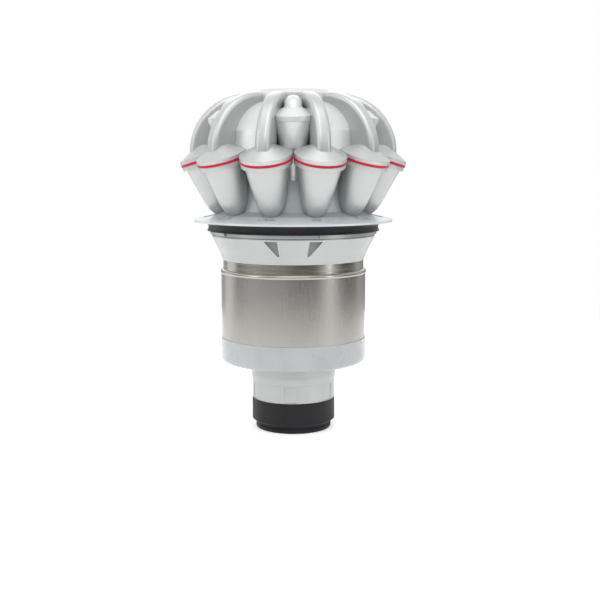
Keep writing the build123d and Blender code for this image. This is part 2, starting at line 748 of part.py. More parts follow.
with BuildPart() as outlet_gasket:
    with BuildSketch(OUTLET_PLANE.offset(GASKET_FLOOR_Y)):
        Circle(GASKET_RING_R)
        Circle(OUTLET_BORE_R, mode=Mode.SUBTRACT)
    extrude(amount=OUTLET_GASKET_H)
save(outlet_gasket, "outlet_gasket")

# upright web on the rear, from the flange to the outlet plate, with a screwed foot
with BuildPart() as spine:
    with BuildSketch(Plane.YZ):
        with BuildLine():
            Polyline(
                (SPINE_FRONT_Y - 1, FLANGE_HUB_Z - FLANGE_WALL),
                (SPINE_REAR_Y, FLANGE_HUB_Z - FLANGE_WALL),
                (SPINE_REAR_Y - 2, SPINE_FOOT_TOP),
                (SPINE_FRONT_Y + 4, SPINE_FOOT_TOP + 6),
                (SPINE_REAR_Y, OUTLET_Z - OUTLET_R - 6),
                (SPINE_REAR_Y, OUTLET_Z - OUTLET_R),
                (SPINE_FRONT_Y, OUTLET_Z - OUTLET_R - 4),
                (SPINE_FRONT_Y - 6, SPINE_FOOT_TOP + 8),
                close=True,
            )
        make_face()
    extrude(amount=SPINE_WEB / 2, both=True)
    with BuildSketch(Plane.XY.offset(FLANGE_HUB_Z - FLANGE_WALL)):
        with Locations((0, (SPINE_FRONT_Y + SPINE_REAR_Y) / 2)):
            RectangleRounded(SPINE_W, SPINE_REAR_Y - SPINE_FRONT_Y - 1, 3)
    extrude(amount=SPINE_FOOT_TOP - FLANGE_HUB_Z + FLANGE_WALL)
    with BuildSketch(Plane.XY.offset(FLANGE_HUB_Z - FLANGE_WALL)):
        with Locations((-SCREW_X, SCREW_Y), (SCREW_X, SCREW_Y)):
            Circle(SPINE_SCREW_R)
    extrude(amount=2 * FLANGE_WALL + 4, mode=Mode.SUBTRACT)
    add(flange_plate.part, mode=Mode.SUBTRACT)
    add(cone_carrier.part, mode=Mode.SUBTRACT)
save(spine, "spine")

with BuildPart() as spine_screws:
    with BuildSketch(Plane.XY.offset(SEAL_TOP + SCREW_FLOOR)):
        with Locations((-SCREW_X, SCREW_Y), (SCREW_X, SCREW_Y)):
            Circle(SPINE_SCREW_R)
    extrude(amount=SPINE_FOOT_TOP - SEAL_TOP - SCREW_FLOOR)
    with BuildSketch(Plane.XY.offset(SPINE_FOOT_TOP)):
        with Locations((-SCREW_X, SCREW_Y), (SCREW_X, SCREW_Y)):
            Circle(SPINE_SCREW_HEAD_R)
    extrude(amount=SCREW_HEAD_H)
    with BuildSketch(Plane.XY.offset(SPINE_FOOT_TOP + SCREW_HEAD_H)):
        with Locations((-SCREW_X, SCREW_Y), (SCREW_X, SCREW_Y)):
            RegularPolygon(SCREW_SOCKET_R, 6)
    extrude(amount=-SCREW_HEAD_H + 0.5, mode=Mode.SUBTRACT)
save(spine_screws, "spine_screws")

# ---- arched ducts over the outer cyclones ------------------------------------

with BuildPart() as arch:
    with BuildSketch(SECTION):
        with BuildLine():
            back = CenterArc((FIN_CENTRE_RHO, FIN_CENTRE_Z), FIN_OUTER_R, 0, 90)
            Polyline(
                back @ 1,
                (DRUM_FLAT_R, FIN_CENTRE_Z + FIN_OUTER_R),
                (DRUM_FLAT_R, DOME_WAIST[1]),
                (DOME_FOOT[0] - 2, FIN_CENTRE_Z),
                (DOME_FOOT[0] + 2, FIN_CENTRE_Z),
                (FIN_CENTRE_RHO + FIN_OUTER_R, FIN_CENTRE_Z - 2),
                back @ 0,
            )
        make_face()
    extrude(amount=FIN_W / 2, both=True)
    fillet(arch.edges().filter_by(GeomType.CIRCLE), FIN_EDGE_R)
    add(dome_body.part, mode=Mode.SUBTRACT)
    with BuildSketch(OUTER_PLANE):
        with BuildLine():
            Polyline(
                (0, CAP_APEX_H),
                (RIM_R, GASKET_HALF + CAP_BAND_H),
                (RIM_R, GASKET_HALF),
                (0, GASKET_HALF),
                close=True,
            )
        make_face()
    revolve(axis=OUTER_AXIS)
    with BuildSketch(OUTER_PLANE):
        with BuildLine():
            Polyline(
                (0, GASKET_HALF),
                (FINDER_PLATE_R, GASKET_HALF),
                (FINDER_PLATE_R, GASKET_HALF + FINDER_PLATE_H),
                (CAP_BORE_R, GASKET_HALF + FINDER_PLATE_H),
                (CAP_BORE_R, GASKET_HALF + CAP_BAND_H),
                (0, GASKET_HALF + CAP_BAND_H + CAP_BORE_R * tan(radians(CAP_SLOPE))),
                close=True,
            )
        make_face()
    revolve(axis=OUTER_AXIS, mode=Mode.SUBTRACT)
    with BuildSketch(Plane.XY.offset(FIN_CENTRE_Z)):
        with Locations((0, -FIN_CENTRE_RHO - FIN_PASSAGE_ARC_R)):
            Circle(FIN_PASSAGE_R)
    revolve(axis=Axis((0, -FIN_CENTRE_RHO, FIN_CENTRE_Z), (1, 0, 0)), revolution_arc=-90, mode=Mode.SUBTRACT)
    with BuildSketch(Plane.XY.offset(FIN_CENTRE_Z)):
        with Locations((0, -FIN_CENTRE_RHO - FIN_PASSAGE_ARC_R)):
            Circle(FIN_PASSAGE_R)
    extrude(amount=-2, mode=Mode.SUBTRACT)

for i, azimuth in enumerate(AZIMUTHS_OUTER):
    with BuildPart() as outer_duct:
        add(arch.part, rotation=(0, 0, azimuth))
        add(inner_body.part, rotation=(0, 0, AZIMUTHS_INNER[i // 2]), mode=Mode.SUBTRACT)
        with BuildSketch(OUTLET_PLANE):
            Circle(OUTLET_R)
        extrude(amount=PLATE_FRONT_Y, mode=Mode.SUBTRACT)
    save(outer_duct, f"outer_duct_{i + 1:02d}")

# ---- capped fingers over the inner cyclones ----------------------------------

with BuildPart() as inner_cap:
    with BuildSketch(INNER_PLANE):
        with BuildLine():
            Polyline(
                (0, 0),
                (INNER_RIM_R, 0),
                (INNER_RIM_R, INNER_BAND_H),
                (FINGER_R, FINGER_BASE_H),
                (0, FINGER_BASE_H),
                close=True,
            )
        make_face()
    revolve(axis=INNER_AXIS)
    add(finger_outside)
    with BuildSketch(INNER_PLANE):
        with BuildLine():
            Polyline(
                (0, 0),
                (INNER_FINDER_PLATE_R, 0),
                (INNER_FINDER_PLATE_R, FINDER_PLATE_H),
                (INNER_FINDER_PLATE_R - 1, FINDER_PLATE_H),
                (INNER_FINDER_PLATE_R - 1, INNER_BAND_H - 0.5),
                (FINGER_R - FINGER_WALL, FINGER_BASE_H - 1),
                (0, FINGER_BASE_H - 1),
                close=True,
            )
        make_face()
    revolve(axis=INNER_AXIS, mode=Mode.SUBTRACT)
    add(finger_bore, mode=Mode.SUBTRACT)
    with BuildSketch(Plane.XY.offset(MANIFOLD_BOTTOM)):
        Circle(DRUM_R)
    extrude(amount=DRUM_TOP - MANIFOLD_BOTTOM, mode=Mode.SUBTRACT)

for i, azimuth in enumerate(AZIMUTHS_INNER):
    with BuildPart() as inner_duct:
        add(inner_cap.part, rotation=(0, 0, azimuth))
    save(inner_duct, f"inner_duct_{i + 1}")

# ---- manifold, dome covers and filter well -----------------------------------

# one hollow cover from the front round by one pitch, between two neighbouring ducts
with BuildPart() as cover:
    with BuildSketch(SECTION):
        with BuildLine():
            Polyline(
                DOME_WAIST,
                (DOME_FOOT[0], COVER_FOOT_Z),
                (DRUM_R, COVER_FOOT_Z),
                (DRUM_R, COVER_CROWN_Z),
            )
            ThreePointArc((DRUM_R, COVER_CROWN_Z), DOME_SHOULDER, DOME_WAIST)
        make_face()
    revolve(axis=Axis.Z, revolution_arc=OUTER_PITCH)
    with BuildSketch(radial_plane(azimuth=COVER_END)):
        with BuildLine():
            Polyline(
                (DRUM_R, COVER_FOOT_Z),
                (DOME_FOOT[0] - COVER_WALL, COVER_FOOT_Z),
                (DOME_WAIST[0] - COVER_WALL, DOME_WAIST[1] - 0.5),
                (DOME_SHOULDER[0] - COVER_WALL, DOME_SHOULDER[1] - COVER_WALL),
                (DRUM_R, COVER_CROWN_Z - 2 * COVER_WALL),
                close=True,
            )
        make_face()
    revolve(axis=Axis.Z, revolution_arc=OUTER_PITCH - 2 * COVER_END, mode=Mode.SUBTRACT)
    for azimuth in (0, OUTER_PITCH):
        add(outer_body.part, rotation=(0, 0, azimuth), mode=Mode.SUBTRACT)

with BuildPart() as dome_covers:
    for start in COVER_STARTS:
        add(cover.part, rotation=(0, 0, start))
save(dome_covers, "dome_covers")

with BuildPart() as manifold:
    with BuildSketch(SECTION):
        with BuildLine():
            Polyline(
                (WELL_R, MANIFOLD_BOTTOM),
                (DRUM_R, MANIFOLD_BOTTOM),
                (DRUM_R, DRUM_CHAMFER_Z),
                (DRUM_FLAT_R, DRUM_TOP),
                (FILTER_BORE_R, DRUM_TOP),
                (FILTER_BORE_R, WELL_TOP),
                (WELL_R, WELL_TOP - WELL_R + FILTER_BORE_R),
                close=True,
            )
        make_face()
    revolve(axis=Axis.Z)
    for azimuth in AZIMUTHS_OUTER:
        with BuildSketch(radial_plane(z=FIN_CENTRE_Z + FIN_PASSAGE_ARC_R, azimuth=azimuth + 90)):
            Circle(FIN_PASSAGE_R)
        extrude(amount=DRUM_R + 1, mode=Mode.SUBTRACT)
    for azimuth in AZIMUTHS_INNER:
        with BuildSketch(radial_plane(z=FINGER_Z, azimuth=azimuth + 90)):
            Circle(FINGER_R - FINGER_WALL)
        extrude(amount=DRUM_R + 1, mode=Mode.SUBTRACT)
    with BuildSketch(OUTLET_PLANE):
        Circle(OUTLET_PORT_R)
    extrude(amount=DRUM_R + 1, mode=Mode.SUBTRACT)
save(manifold, "manifold")

with BuildPart() as filter_sleeve:
    with BuildSketch(Plane.XY.offset(SLEEVE_BOTTOM)):
        Circle(SLEEVE_R)
    extrude(amount=MANIFOLD_BOTTOM - SLEEVE_BOTTOM)
    with BuildSketch(Plane.XY.offset(SLEEVE_BOTTOM + SLEEVE_WALL)):
        Circle(WELL_R)
    extrude(amount=MANIFOLD_BOTTOM - SLEEVE_BOTTOM, mode=Mode.SUBTRACT)
save(filter_sleeve, "filter_sleeve")

# ---- lift-out filter ---------------------------------------------------------

with BuildPart() as filter_cap:
    with BuildSketch(Plane.XY.offset(FILTER_CAP_BOTTOM)):
        Circle(FILTER_CAP_R)
    extrude(amount=FILTER_CAP_TOP - FILTER_CAP_BOTTOM)
    with BuildSketch(Plane.XY.offset(FILTER_CAP_BOTTOM + FILTER_CAP_FLOOR)):
        Circle(FILTER_CAP_DISH_R)
    extrude(amount=FILTER_CAP_TOP - FILTER_CAP_BOTTOM, mode=Mode.SUBTRACT)
    with BuildSketch(Plane.XY.offset(FILTER_CAP_BOTTOM + FILTER_CAP_FLOOR)):
        Rectangle(2 * FILTER_CAP_DISH_R, GRIP_W)
    extrude(amount=FILTER_CAP_TOP - FILTER_CAP_BOTTOM - FILTER_CAP_FLOOR)
save(filter_cap, "filter_cap")

with BuildPart() as filter_frame:
    with BuildSketch(Plane.XY.offset(FILTER_CAP_BOTTOM - FILTER_RING_H)):
        Circle(FILTER_RING_R)
        Circle(CAGE_INNER_R, mode=Mode.SUBTRACT)
    extrude(amount=FILTER_RING_H)
    with BuildSketch(Plane.XY.offset(FILTER_NECK_TOP)):
        with PolarLocations((FILTER_RING_R + CAGE_INNER_R) / 2, FILTER_POSTS):
            Rectangle(FILTER_RING_R - CAGE_INNER_R - 1, FILTER_POST_W)
    extrude(amount=FILTER_CAP_BOTTOM - FILTER_NECK_TOP - FILTER_RING_H)
    with BuildSketch(SECTION):
        with BuildLine():
            Polyline(
                (CAGE_INNER_R, FILTER_NECK_BOTTOM),
                (FILTER_RING_R, FILTER_NECK_BOTTOM),
                (FILTER_RING_R, FILTER_NECK_BOTTOM + 0.6),
                (FILTER_RING_R - SEAL_GROOVE, FILTER_NECK_BOTTOM + 0.6),
                (FILTER_RING_R - SEAL_GROOVE, FILTER_NECK_TOP - 0.6),
                (FILTER_RING_R, FILTER_NECK_TOP - 0.6),
                (FILTER_RING_R, FILTER_NECK_TOP),
                (CAGE_INNER_R, FILTER_NECK_TOP),
                close=True,
            )
        make_face()
    revolve(axis=Axis.Z)
    for bottom in (CAGE_BOTTOM, (CAGE_BOTTOM + FILTER_NECK_BOTTOM) / 2):
        with BuildSketch(Plane.XY.offset(bottom)):
            Circle(CAGE_OUTER_R)
            Circle(CAGE_INNER_R, mode=Mode.SUBTRACT)
        extrude(amount=CAGE_RING_H)
    with BuildSketch(Plane.XY.offset(CAGE_BOTTOM)):
        with PolarLocations((CAGE_INNER_R + CAGE_OUTER_R) / 2, FILTER_POSTS):
            Rectangle(CAGE_OUTER_R - CAGE_INNER_R - 0.2, FILTER_POST_W)
    extrude(amount=FILTER_NECK_BOTTOM - CAGE_BOTTOM)
save(filter_frame, "filter_frame")

with BuildPart() as filter_seal:
    with BuildSketch(Plane.XY.offset(FILTER_NECK_BOTTOM + 0.6)):
        Circle(FILTER_SEAL_R)
        Circle(FILTER_RING_R - SEAL_GROOVE, mode=Mode.SUBTRACT)
    extrude(amount=FILTER_NECK_TOP - FILTER_NECK_BOTTOM - 1.2)
save(filter_seal, "filter_seal")

with BuildPart() as filter_sock:
    with BuildSketch(Plane.XY.offset(SOCK_BOTTOM)):
        Circle(SOCK_R)
    extrude(amount=FILTER_NECK_BOTTOM - SOCK_BOTTOM)
    fillet(filter_sock.faces().sort_by(Axis.Z)[0].edges(), SOCK_ROUND)
    with BuildSketch(Plane.XY.offset(SOCK_BOTTOM + SOCK_WALL)):
        Circle(SOCK_R - SOCK_WALL)
    extrude(amount=FILTER_NECK_BOTTOM - SOCK_BOTTOM, mode=Mode.SUBTRACT)
save(filter_sock, "filter_sock")
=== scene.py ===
import bpy
import bmesh
from math import cos, pi, radians, sin
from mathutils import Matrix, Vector


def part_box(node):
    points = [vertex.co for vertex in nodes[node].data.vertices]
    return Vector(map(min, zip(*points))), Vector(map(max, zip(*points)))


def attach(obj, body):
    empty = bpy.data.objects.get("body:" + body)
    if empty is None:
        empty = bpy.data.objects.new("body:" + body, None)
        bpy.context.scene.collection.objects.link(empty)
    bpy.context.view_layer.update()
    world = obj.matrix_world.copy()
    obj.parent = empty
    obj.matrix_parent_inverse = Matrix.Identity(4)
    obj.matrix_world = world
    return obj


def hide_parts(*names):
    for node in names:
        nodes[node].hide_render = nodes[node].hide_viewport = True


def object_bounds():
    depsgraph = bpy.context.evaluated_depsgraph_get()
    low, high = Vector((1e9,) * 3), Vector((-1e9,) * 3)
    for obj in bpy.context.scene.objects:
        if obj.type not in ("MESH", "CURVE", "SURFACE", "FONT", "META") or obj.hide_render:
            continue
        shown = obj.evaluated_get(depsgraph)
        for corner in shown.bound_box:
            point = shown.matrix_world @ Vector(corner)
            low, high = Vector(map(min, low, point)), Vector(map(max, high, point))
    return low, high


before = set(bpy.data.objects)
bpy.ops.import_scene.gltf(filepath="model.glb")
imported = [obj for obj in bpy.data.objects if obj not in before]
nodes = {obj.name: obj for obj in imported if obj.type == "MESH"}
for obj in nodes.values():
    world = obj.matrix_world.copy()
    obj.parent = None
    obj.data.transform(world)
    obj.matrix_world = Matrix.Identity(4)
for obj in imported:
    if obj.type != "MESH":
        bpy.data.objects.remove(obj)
cad_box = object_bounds()

# Metres. The pack stands on the floor at z = 0 and its front faces -Y.
MM = 0.001
CENTRE_Z = 0.5 * (cad_box[0][2] + cad_box[1][2])


# ---- nodes ---------------------------------------------------------------------------------

# A noise texture's values lie mostly between these two.
NOISE_LOW = 0.3
NOISE_HIGH = 0.7

BEVEL_SAMPLES = 4

# Numbers of a Mix node's colour sockets, whose names are also those of its other sockets.
MIX_FIRST = 6
MIX_SECOND = 7
MIX_RESULT = 2


class Graph:
    """A node tree, with short ways to add nodes to it. All but add return the new node's result."""

    def __init__(self, tree):
        self.tree = tree

    def add(self, kind, inputs=(), **settings):
        """New node. inputs goes from a socket's name or number to a value or another socket."""
        made = self.tree.nodes.new(kind)
        for name, value in settings.items():
            setattr(made, name, value)
        for socket, value in dict(inputs).items():
            if isinstance(value, bpy.types.NodeSocket):
                self.tree.links.new(value, made.inputs[socket])
            else:
                made.inputs[socket].default_value = value
        return made

    def math(self, operation, *values):
        """Number that the operation makes of the values."""
        return self.add("ShaderNodeMath", enumerate(values), operation=operation).outputs[0]

    def remap(self, value, start, end, low=0.0, high=1.0):
        """Number from low to high as value goes from start to end."""
        inputs = {"Value": value, "From Min": start, "From Max": end, "To Min": low, "To Max": high}
        return self.add("ShaderNodeMapRange", inputs).outputs["Result"]

    def mix(self, factor, first, second):
        """Colour from first to second as factor goes from 0 to 1."""
        inputs = {"Factor": factor, MIX_FIRST: first, MIX_SECOND: second}
        return self.add("ShaderNodeMix", inputs, data_type="RGBA").outputs[MIX_RESULT]

    def gradient(self, factor, stops):
        """Colour that goes through the stops in turn; a stop is (factor, colour)."""
        made = self.add("ShaderNodeValToRGB", {"Fac": factor})
        steps = made.color_ramp.elements
        while len(steps) < len(stops):
            steps.new(0.5)
        for step, (position, colour) in zip(steps, stops):
            step.position = position
            step.color = (*colour, 1)
        return made.outputs["Color"]


class Shader(Graph):
    """A material with one Principled shader, whose own values are named with _ for a space."""

    def __init__(self, name, **values):
        self.material = bpy.data.materials.new(name)
        self.material.use_nodes = True
        super().__init__(self.material.node_tree)
        self.principled = self.tree.nodes["Principled BSDF"]
        self.place = self.add("ShaderNodeTexCoord").outputs["Object"]
        for socket, value in values.items():
            self.principled.inputs[socket.replace("_", " ")].default_value = value

    def set(self, socket, source):
        """Joins a result to a socket of the Principled shader."""
        self.tree.links.new(source, self.principled.inputs[socket])

    def noise(self, scale, detail, stretch=(1, 1, 1)):
        """Noise in object space, in cells per metre. A stretch under 1 draws it out that way."""
        mapped = self.add("ShaderNodeMapping", {"Vector": self.place, "Scale": stretch})
        inputs = {"Vector": mapped.outputs[0], "Scale": scale, "Detail": detail}
        return self.add("ShaderNodeTexNoise", inputs).outputs["Fac"]

    def ramp(self, noise, low, high, start=NOISE_LOW, end=NOISE_HIGH):
        """Colour from low to high as the noise goes from start to end."""
        return self.gradient(noise, [(start, low), (end, high)])

    def spread(self, noise, low, high):
        """Number from low to high over the noise's range."""
        return self.remap(noise, NOISE_LOW, NOISE_HIGH, low, high)

    def bump(self, height, distance, strength, normal=None):
        """Normal of a surface raised by height (0 to 1) times the distance."""
        inputs = {"Height": height, "Distance": distance, "Strength": strength}
        if normal is not None:
            inputs["Normal"] = normal
        return self.add("ShaderNodeBump", inputs).outputs["Normal"]

    def soft_edge(self, radius):
        """Normal of a moulded edge rounded by the radius."""
        inputs = {"Radius": radius}
        return self.add("ShaderNodeBevel", inputs, samples=BEVEL_SAMPLES).outputs["Normal"]


# ---- materials -----------------------------------------------------------------------------

# Share of the flake's glint in silver paint.
FLAKE_SHARE = 0.45

# Columns of holes round the steel screen, and where a hole's soft edge starts and ends in the
# product of the two waves that make the pattern.
HOLE_COLUMNS = 520
HOLE_EDGE_START = 0.1
HOLE_EDGE_END = 0.6


def tint(colour, factor):
    """The colour darkened or lightened by the factor."""
    return tuple(min(1.0, channel * factor) for channel in colour)


def silver_paint(name, silver, metallic):
    """Satin metallic silver: fine flake, faint mottling, soft moulded edges."""
    shader = Shader(name, Metallic=metallic, Coat_Weight=0.3, Coat_Roughness=0.25)
    mottle = shader.noise(scale=45, detail=4)
    flake = shader.noise(scale=6000, detail=2)
    gloss = shader.noise(scale=120, detail=5)
    base = shader.ramp(mottle, tint(silver, 0.96), tint(silver, 1.03))
    glint = shader.ramp(flake, tint(silver, 0.90), tint(silver, 1.08))
    edge = shader.soft_edge(0.5 * MM)
    shader.set("Base Color", shader.mix(FLAKE_SHARE, base, glint))
    shader.set("Roughness", shader.spread(gloss, 0.32, 0.40))
    shader.set("Normal", shader.bump(flake, distance=0.02 * MM, strength=0.3, normal=edge))
    return shader.material


def moulded_plastic(name, colour, roughness, metallic=0.0):
    """Injection-moulded plastic with a fine spark-eroded grain and faint flow marks."""
    shader = Shader(name, Metallic=metallic, Coat_Weight=0.1, Coat_Roughness=0.35)
    flow = shader.noise(scale=30, detail=5, stretch=(1, 1, 0.35))
    grain = shader.noise(scale=4500, detail=3)
    gloss = shader.noise(scale=150, detail=4)
    edge = shader.soft_edge(0.35 * MM)
    shader.set("Base Color", shader.ramp(flow, tint(colour, 0.94), tint(colour, 1.04)))
    shader.set("Roughness", shader.spread(gloss, roughness - 0.05, roughness + 0.06))
    shader.set("Normal", shader.bump(grain, distance=0.02 * MM, strength=0.35, normal=edge))
    return shader.material


def perforated_steel():
    """Etched steel screen: staggered fine holes and an upright grain that read as satin; the holes
    are painted darker as the shade seen through them.
    """
    shader = Shader("perforated_steel", Metallic=1.0, Anisotropic=0.55)
    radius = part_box("shroud_mesh")[1].x
    place = shader.add("ShaderNodeSeparateXYZ", {"Vector": shader.place}).outputs
    angle = shader.math("ARCTAN2", place["Y"], place["X"])
    around = shader.math("MULTIPLY", angle, HOLE_COLUMNS)
    up = shader.math("MULTIPLY", place["Z"], HOLE_COLUMNS / radius)
    dots = shader.math("MULTIPLY", shader.math("COSINE", around), shader.math("COSINE", up))
    shaded_holes = shader.remap(dots, HOLE_EDGE_START, HOLE_EDGE_END)
    grain = shader.noise(scale=1500, detail=3, stretch=(1, 1, 0.02))
    bare = shader.ramp(grain, (0.375, 0.365, 0.34), (0.405, 0.395, 0.37), start=0.2, end=0.8)
    steel = shader.math("SUBTRACT", 1.0, shaded_holes)
    # The holes get a darker steel colour: painted shade of the dark inside seen through them.
    shader.set("Base Color", shader.mix(shaded_holes, bare, (0.27, 0.262, 0.245, 1)))
    shader.set("Roughness", shader.spread(grain, 0.26, 0.275))
    shader.set("Normal", shader.bump(steel, distance=0.02 * MM, strength=0.15))
    return shader.material


def polished_steel(name, colour, roughness):
    """Spun steel with fine turning lines round the axis."""
    shader = Shader(name, Metallic=1.0, Anisotropic=0.4)
    lines = shader.noise(scale=2500, detail=2, stretch=(0.01, 0.01, 1))
    shader.set("Base Color", shader.ramp(lines, tint(colour, 0.92), tint(colour, 1.06)))
    shader.set("Roughness", shader.spread(lines, roughness - 0.04, roughness + 0.08))
    shader.set("Normal", shader.bump(lines, distance=0.01 * MM, strength=0.2))
    return shader.material


def milky_plastic():
    """Milky skirt: cloudy tone and a smooth, softly glossy surface."""
    shader = Shader("milky_plastic", IOR=1.46, Coat_Weight=0.35, Coat_Roughness=0.15)
    cloud = shader.noise(scale=60, detail=4, stretch=(1, 1, 0.5))
    gloss = shader.noise(scale=200, detail=3)
    shader.set("Base Color", shader.ramp(cloud, (0.315, 0.33, 0.345), (0.37, 0.385, 0.40)))
    shader.set("Roughness", shader.spread(gloss, 0.26, 0.36))
    return shader.material


def rubber(name, colour, roughness):
    """Moulded rubber with a dusty bloom and fine pores."""
    shader = Shader(name, Specular_IOR_Level=0.18, Sheen_Weight=0.04, Sheen_Roughness=0.5)
    bloom = shader.noise(scale=70, detail=6)
    pores = shader.noise(scale=2800, detail=2)
    edge = shader.soft_edge(0.25 * MM)
    shader.set("Base Color", shader.ramp(bloom, tint(colour, 0.85), tint(colour, 1.35)))
    shader.set("Roughness", shader.spread(bloom, roughness - 0.06, roughness + 0.1))
    shader.set("Normal", shader.bump(pores, distance=0.04 * MM, strength=0.3, normal=edge))
    return shader.material


def felt():
    """Needled felt: matted fibres and a soft nap."""
    shader = Shader("felt", Roughness=0.95, Sheen_Weight=0.5, Sheen_Roughness=0.6)
    fibres = shader.noise(scale=900, detail=8, stretch=(1, 1, 0.4))
    fuzz = shader.noise(scale=3500, detail=4)
    shader.set("Base Color", shader.ramp(fibres, (0.66, 0.66, 0.64), (0.88, 0.88, 0.86)))
    shader.set("Normal", shader.bump(fuzz, distance=0.15 * MM, strength=0.6))
    return shader.material


SILVER = silver_paint("silver_duct", (0.50, 0.513, 0.508), metallic=0.55)
# Darker copy of the silver for the outer cones: painted shade under the caps.
SHADED_CONE_SILVER = silver_paint("silver_cone_painted_shade", (0.46, 0.475, 0.47), metallic=0.55)
# Lighter copy of the silver for the dome's covers, manifold, inner cones and ducts: painted light
# in the recessed dome.
LIT_DOME_SILVER = silver_paint("silver_dome_painted_light", (0.64, 0.652, 0.647), metallic=0.4)
FLANGE_GREY = moulded_plastic("flange_plastic", (0.57, 0.615, 0.63), 0.36, metallic=0.15)
BLUE_GREY = moulded_plastic("blue_grey_plastic", (0.43, 0.465, 0.475), 0.36, metallic=0.15)
LIGHT_GREY = moulded_plastic("light_grey_plastic", (0.40, 0.417, 0.412), 0.34, metallic=0.5)
DARK_PLASTIC = moulded_plastic("finder_plastic", (0.20, 0.22, 0.23), 0.5)
CAP_BLUE = moulded_plastic("filter_cap_plastic", (0.06, 0.13, 0.33), 0.42)
FRAME_GREY = moulded_plastic("filter_frame_plastic", (0.45, 0.47, 0.48), 0.45)
SCREEN = perforated_steel()
STEEL = polished_steel("polished_steel", (0.38, 0.362, 0.33), 0.2)
SCREW = polished_steel("screw_zinc", (0.62, 0.63, 0.65), 0.3)
MILKY = milky_plastic()
BLACK = rubber("black_rubber", (0.012, 0.0115, 0.013), 0.5)
SEAL_BLACK = rubber("seal_rubber", (0.018, 0.017, 0.020), 0.42)
RED = rubber("red_gasket", (0.42, 0.012, 0.035), 0.4)
FELT = felt()

FINISHES = {
    # The dome's parts take the silver lightened as painted light.
    "dome_covers": LIT_DOME_SILVER,
    "manifold": LIT_DOME_SILVER,
    "base_seal": BLACK,
    "bin_seal": SEAL_BLACK,
    "outlet_gasket": BLACK,
    "filter_seal": BLACK,
    "cap_gasket": RED,
    "shroud_mesh": SCREEN,
    "shroud_band": STEEL,
    "shroud_skirt": MILKY,
    "spine_screws": SCREW,
    "cone_carrier": BLUE_GREY,
    "flange_plate": FLANGE_GREY,
    "spine": BLUE_GREY,
    "collar": LIGHT_GREY,
    "dust_tube": LIGHT_GREY,
    "dust_funnel": LIGHT_GREY,
    "shroud_floor": LIGHT_GREY,
    "shroud_cage": LIGHT_GREY,
    "filter_sleeve": LIGHT_GREY,
    "outer_vortex_finders": DARK_PLASTIC,
    "inner_vortex_finders": DARK_PLASTIC,
    "filter_cap": CAP_BLUE,
    "filter_frame": FRAME_GREY,
    "filter_sock": FELT,
}


def finish_node(name, node):
    """Gives a CAD node its material: by its kind, or from FINISHES, or else the ducts' silver."""
    # Outer cones take the silver darkened as painted shade; inner cones and ducts take it lightened
    # as painted light.
    if name.startswith("outer_cone_"):
        material = SHADED_CONE_SILVER
    elif name.startswith(("inner_cone_", "inner_duct_")):
        material = LIT_DOME_SILVER
    else:
        material = FINISHES.get(name, SILVER)
    node.data.materials.clear()
    node.data.materials.append(material)


for node_name, cad_node in nodes.items():
    finish_node(node_name, cad_node)


# ---- objects and meshes --------------------------------------------------------------------


def add_object(name, data):
    """New object in the scene that shows the data."""
    made = bpy.data.objects.new(name, data)
    bpy.context.scene.collection.objects.link(made)
    return made


def mesh_data(name, mesh, material):
    """Mesh data with the bmesh's faces and the material. The bmesh is freed."""
    data = bpy.data.meshes.new(name)
    mesh.to_mesh(data)
    mesh.free()
    data.materials.append(material)
    return data


# ---- felt sock of the filter ---------------------------------------------------------------

# The felt's thickness, which a Solidify offset of -1 puts inside the outer face.
SOCK_WALL = 1.7 * MM
INWARDS = -1

SOCK_SIDES = 96
SOCK_ROWS = 48

# Rounding of the sock's floor into its wall.
SOCK_CORNER_R = 3.0 * MM

# The hem at the sock's mouth: how far it stands out, the share of the height where it starts, and
# the room left for it inside the CAD sock's radius.
SOCK_HEM = 0.35 * MM
SOCK_HEM_START = 0.955
SOCK_HEM_ROOM = 0.4 * MM

# How far the felt is drawn in midway between two of the cage's posts, at half its height.
SOCK_DRAW = 0.9 * MM
CAGE_POSTS = 8

# Slow waves of the felt: how deep, how many round the sock, and radians of twist up its height.
SOCK_RIPPLE = 0.12 * MM
SOCK_RIPPLES = 5
SOCK_TWIST = 40


def sock_reach(share, angle, radius, height):
    """The felt's distance from the axis, at a share of its height and an angle round it."""
    corner = min(1.0, share * height / SOCK_CORNER_R)
    body = radius - SOCK_CORNER_R * (1 - (1 - (1 - corner) ** 2) ** 0.5)
    hem = SOCK_HEM if share > SOCK_HEM_START else 0.0
    draw = SOCK_DRAW * sin(pi * share) ** 0.5 * (0.5 - 0.5 * cos(CAGE_POSTS * angle))
    ripple = SOCK_RIPPLE * sin(SOCK_RIPPLES * angle + SOCK_TWIST * share) * sin(pi * share)
    return min(radius, body - draw + ripple - SOCK_HEM_ROOM + hem)


def sock_cup(low, radius, height):
    """Bmesh of the sock's outer face: a cup, closed at the bottom and open at the top."""
    mesh = bmesh.new()
    rings = []
    for row in range(SOCK_ROWS + 1):
        share = row / SOCK_ROWS
        z = low[2] + height * share
        ring = []
        for side in range(SOCK_SIDES):
            angle = 2 * pi * side / SOCK_SIDES
            reach = sock_reach(share, angle, radius, height)
            ring.append(mesh.verts.new((reach * cos(angle), reach * sin(angle), z)))
        rings.append(ring)
    for below, above in zip(rings, rings[1:]):
        for side in range(SOCK_SIDES):
            after = (side + 1) % SOCK_SIDES
            mesh.faces.new((below[side], below[after], above[after], above[side]))
    mesh.faces.new(list(reversed(rings[0])))
    for face in mesh.faces:
        face.smooth = True
    return mesh


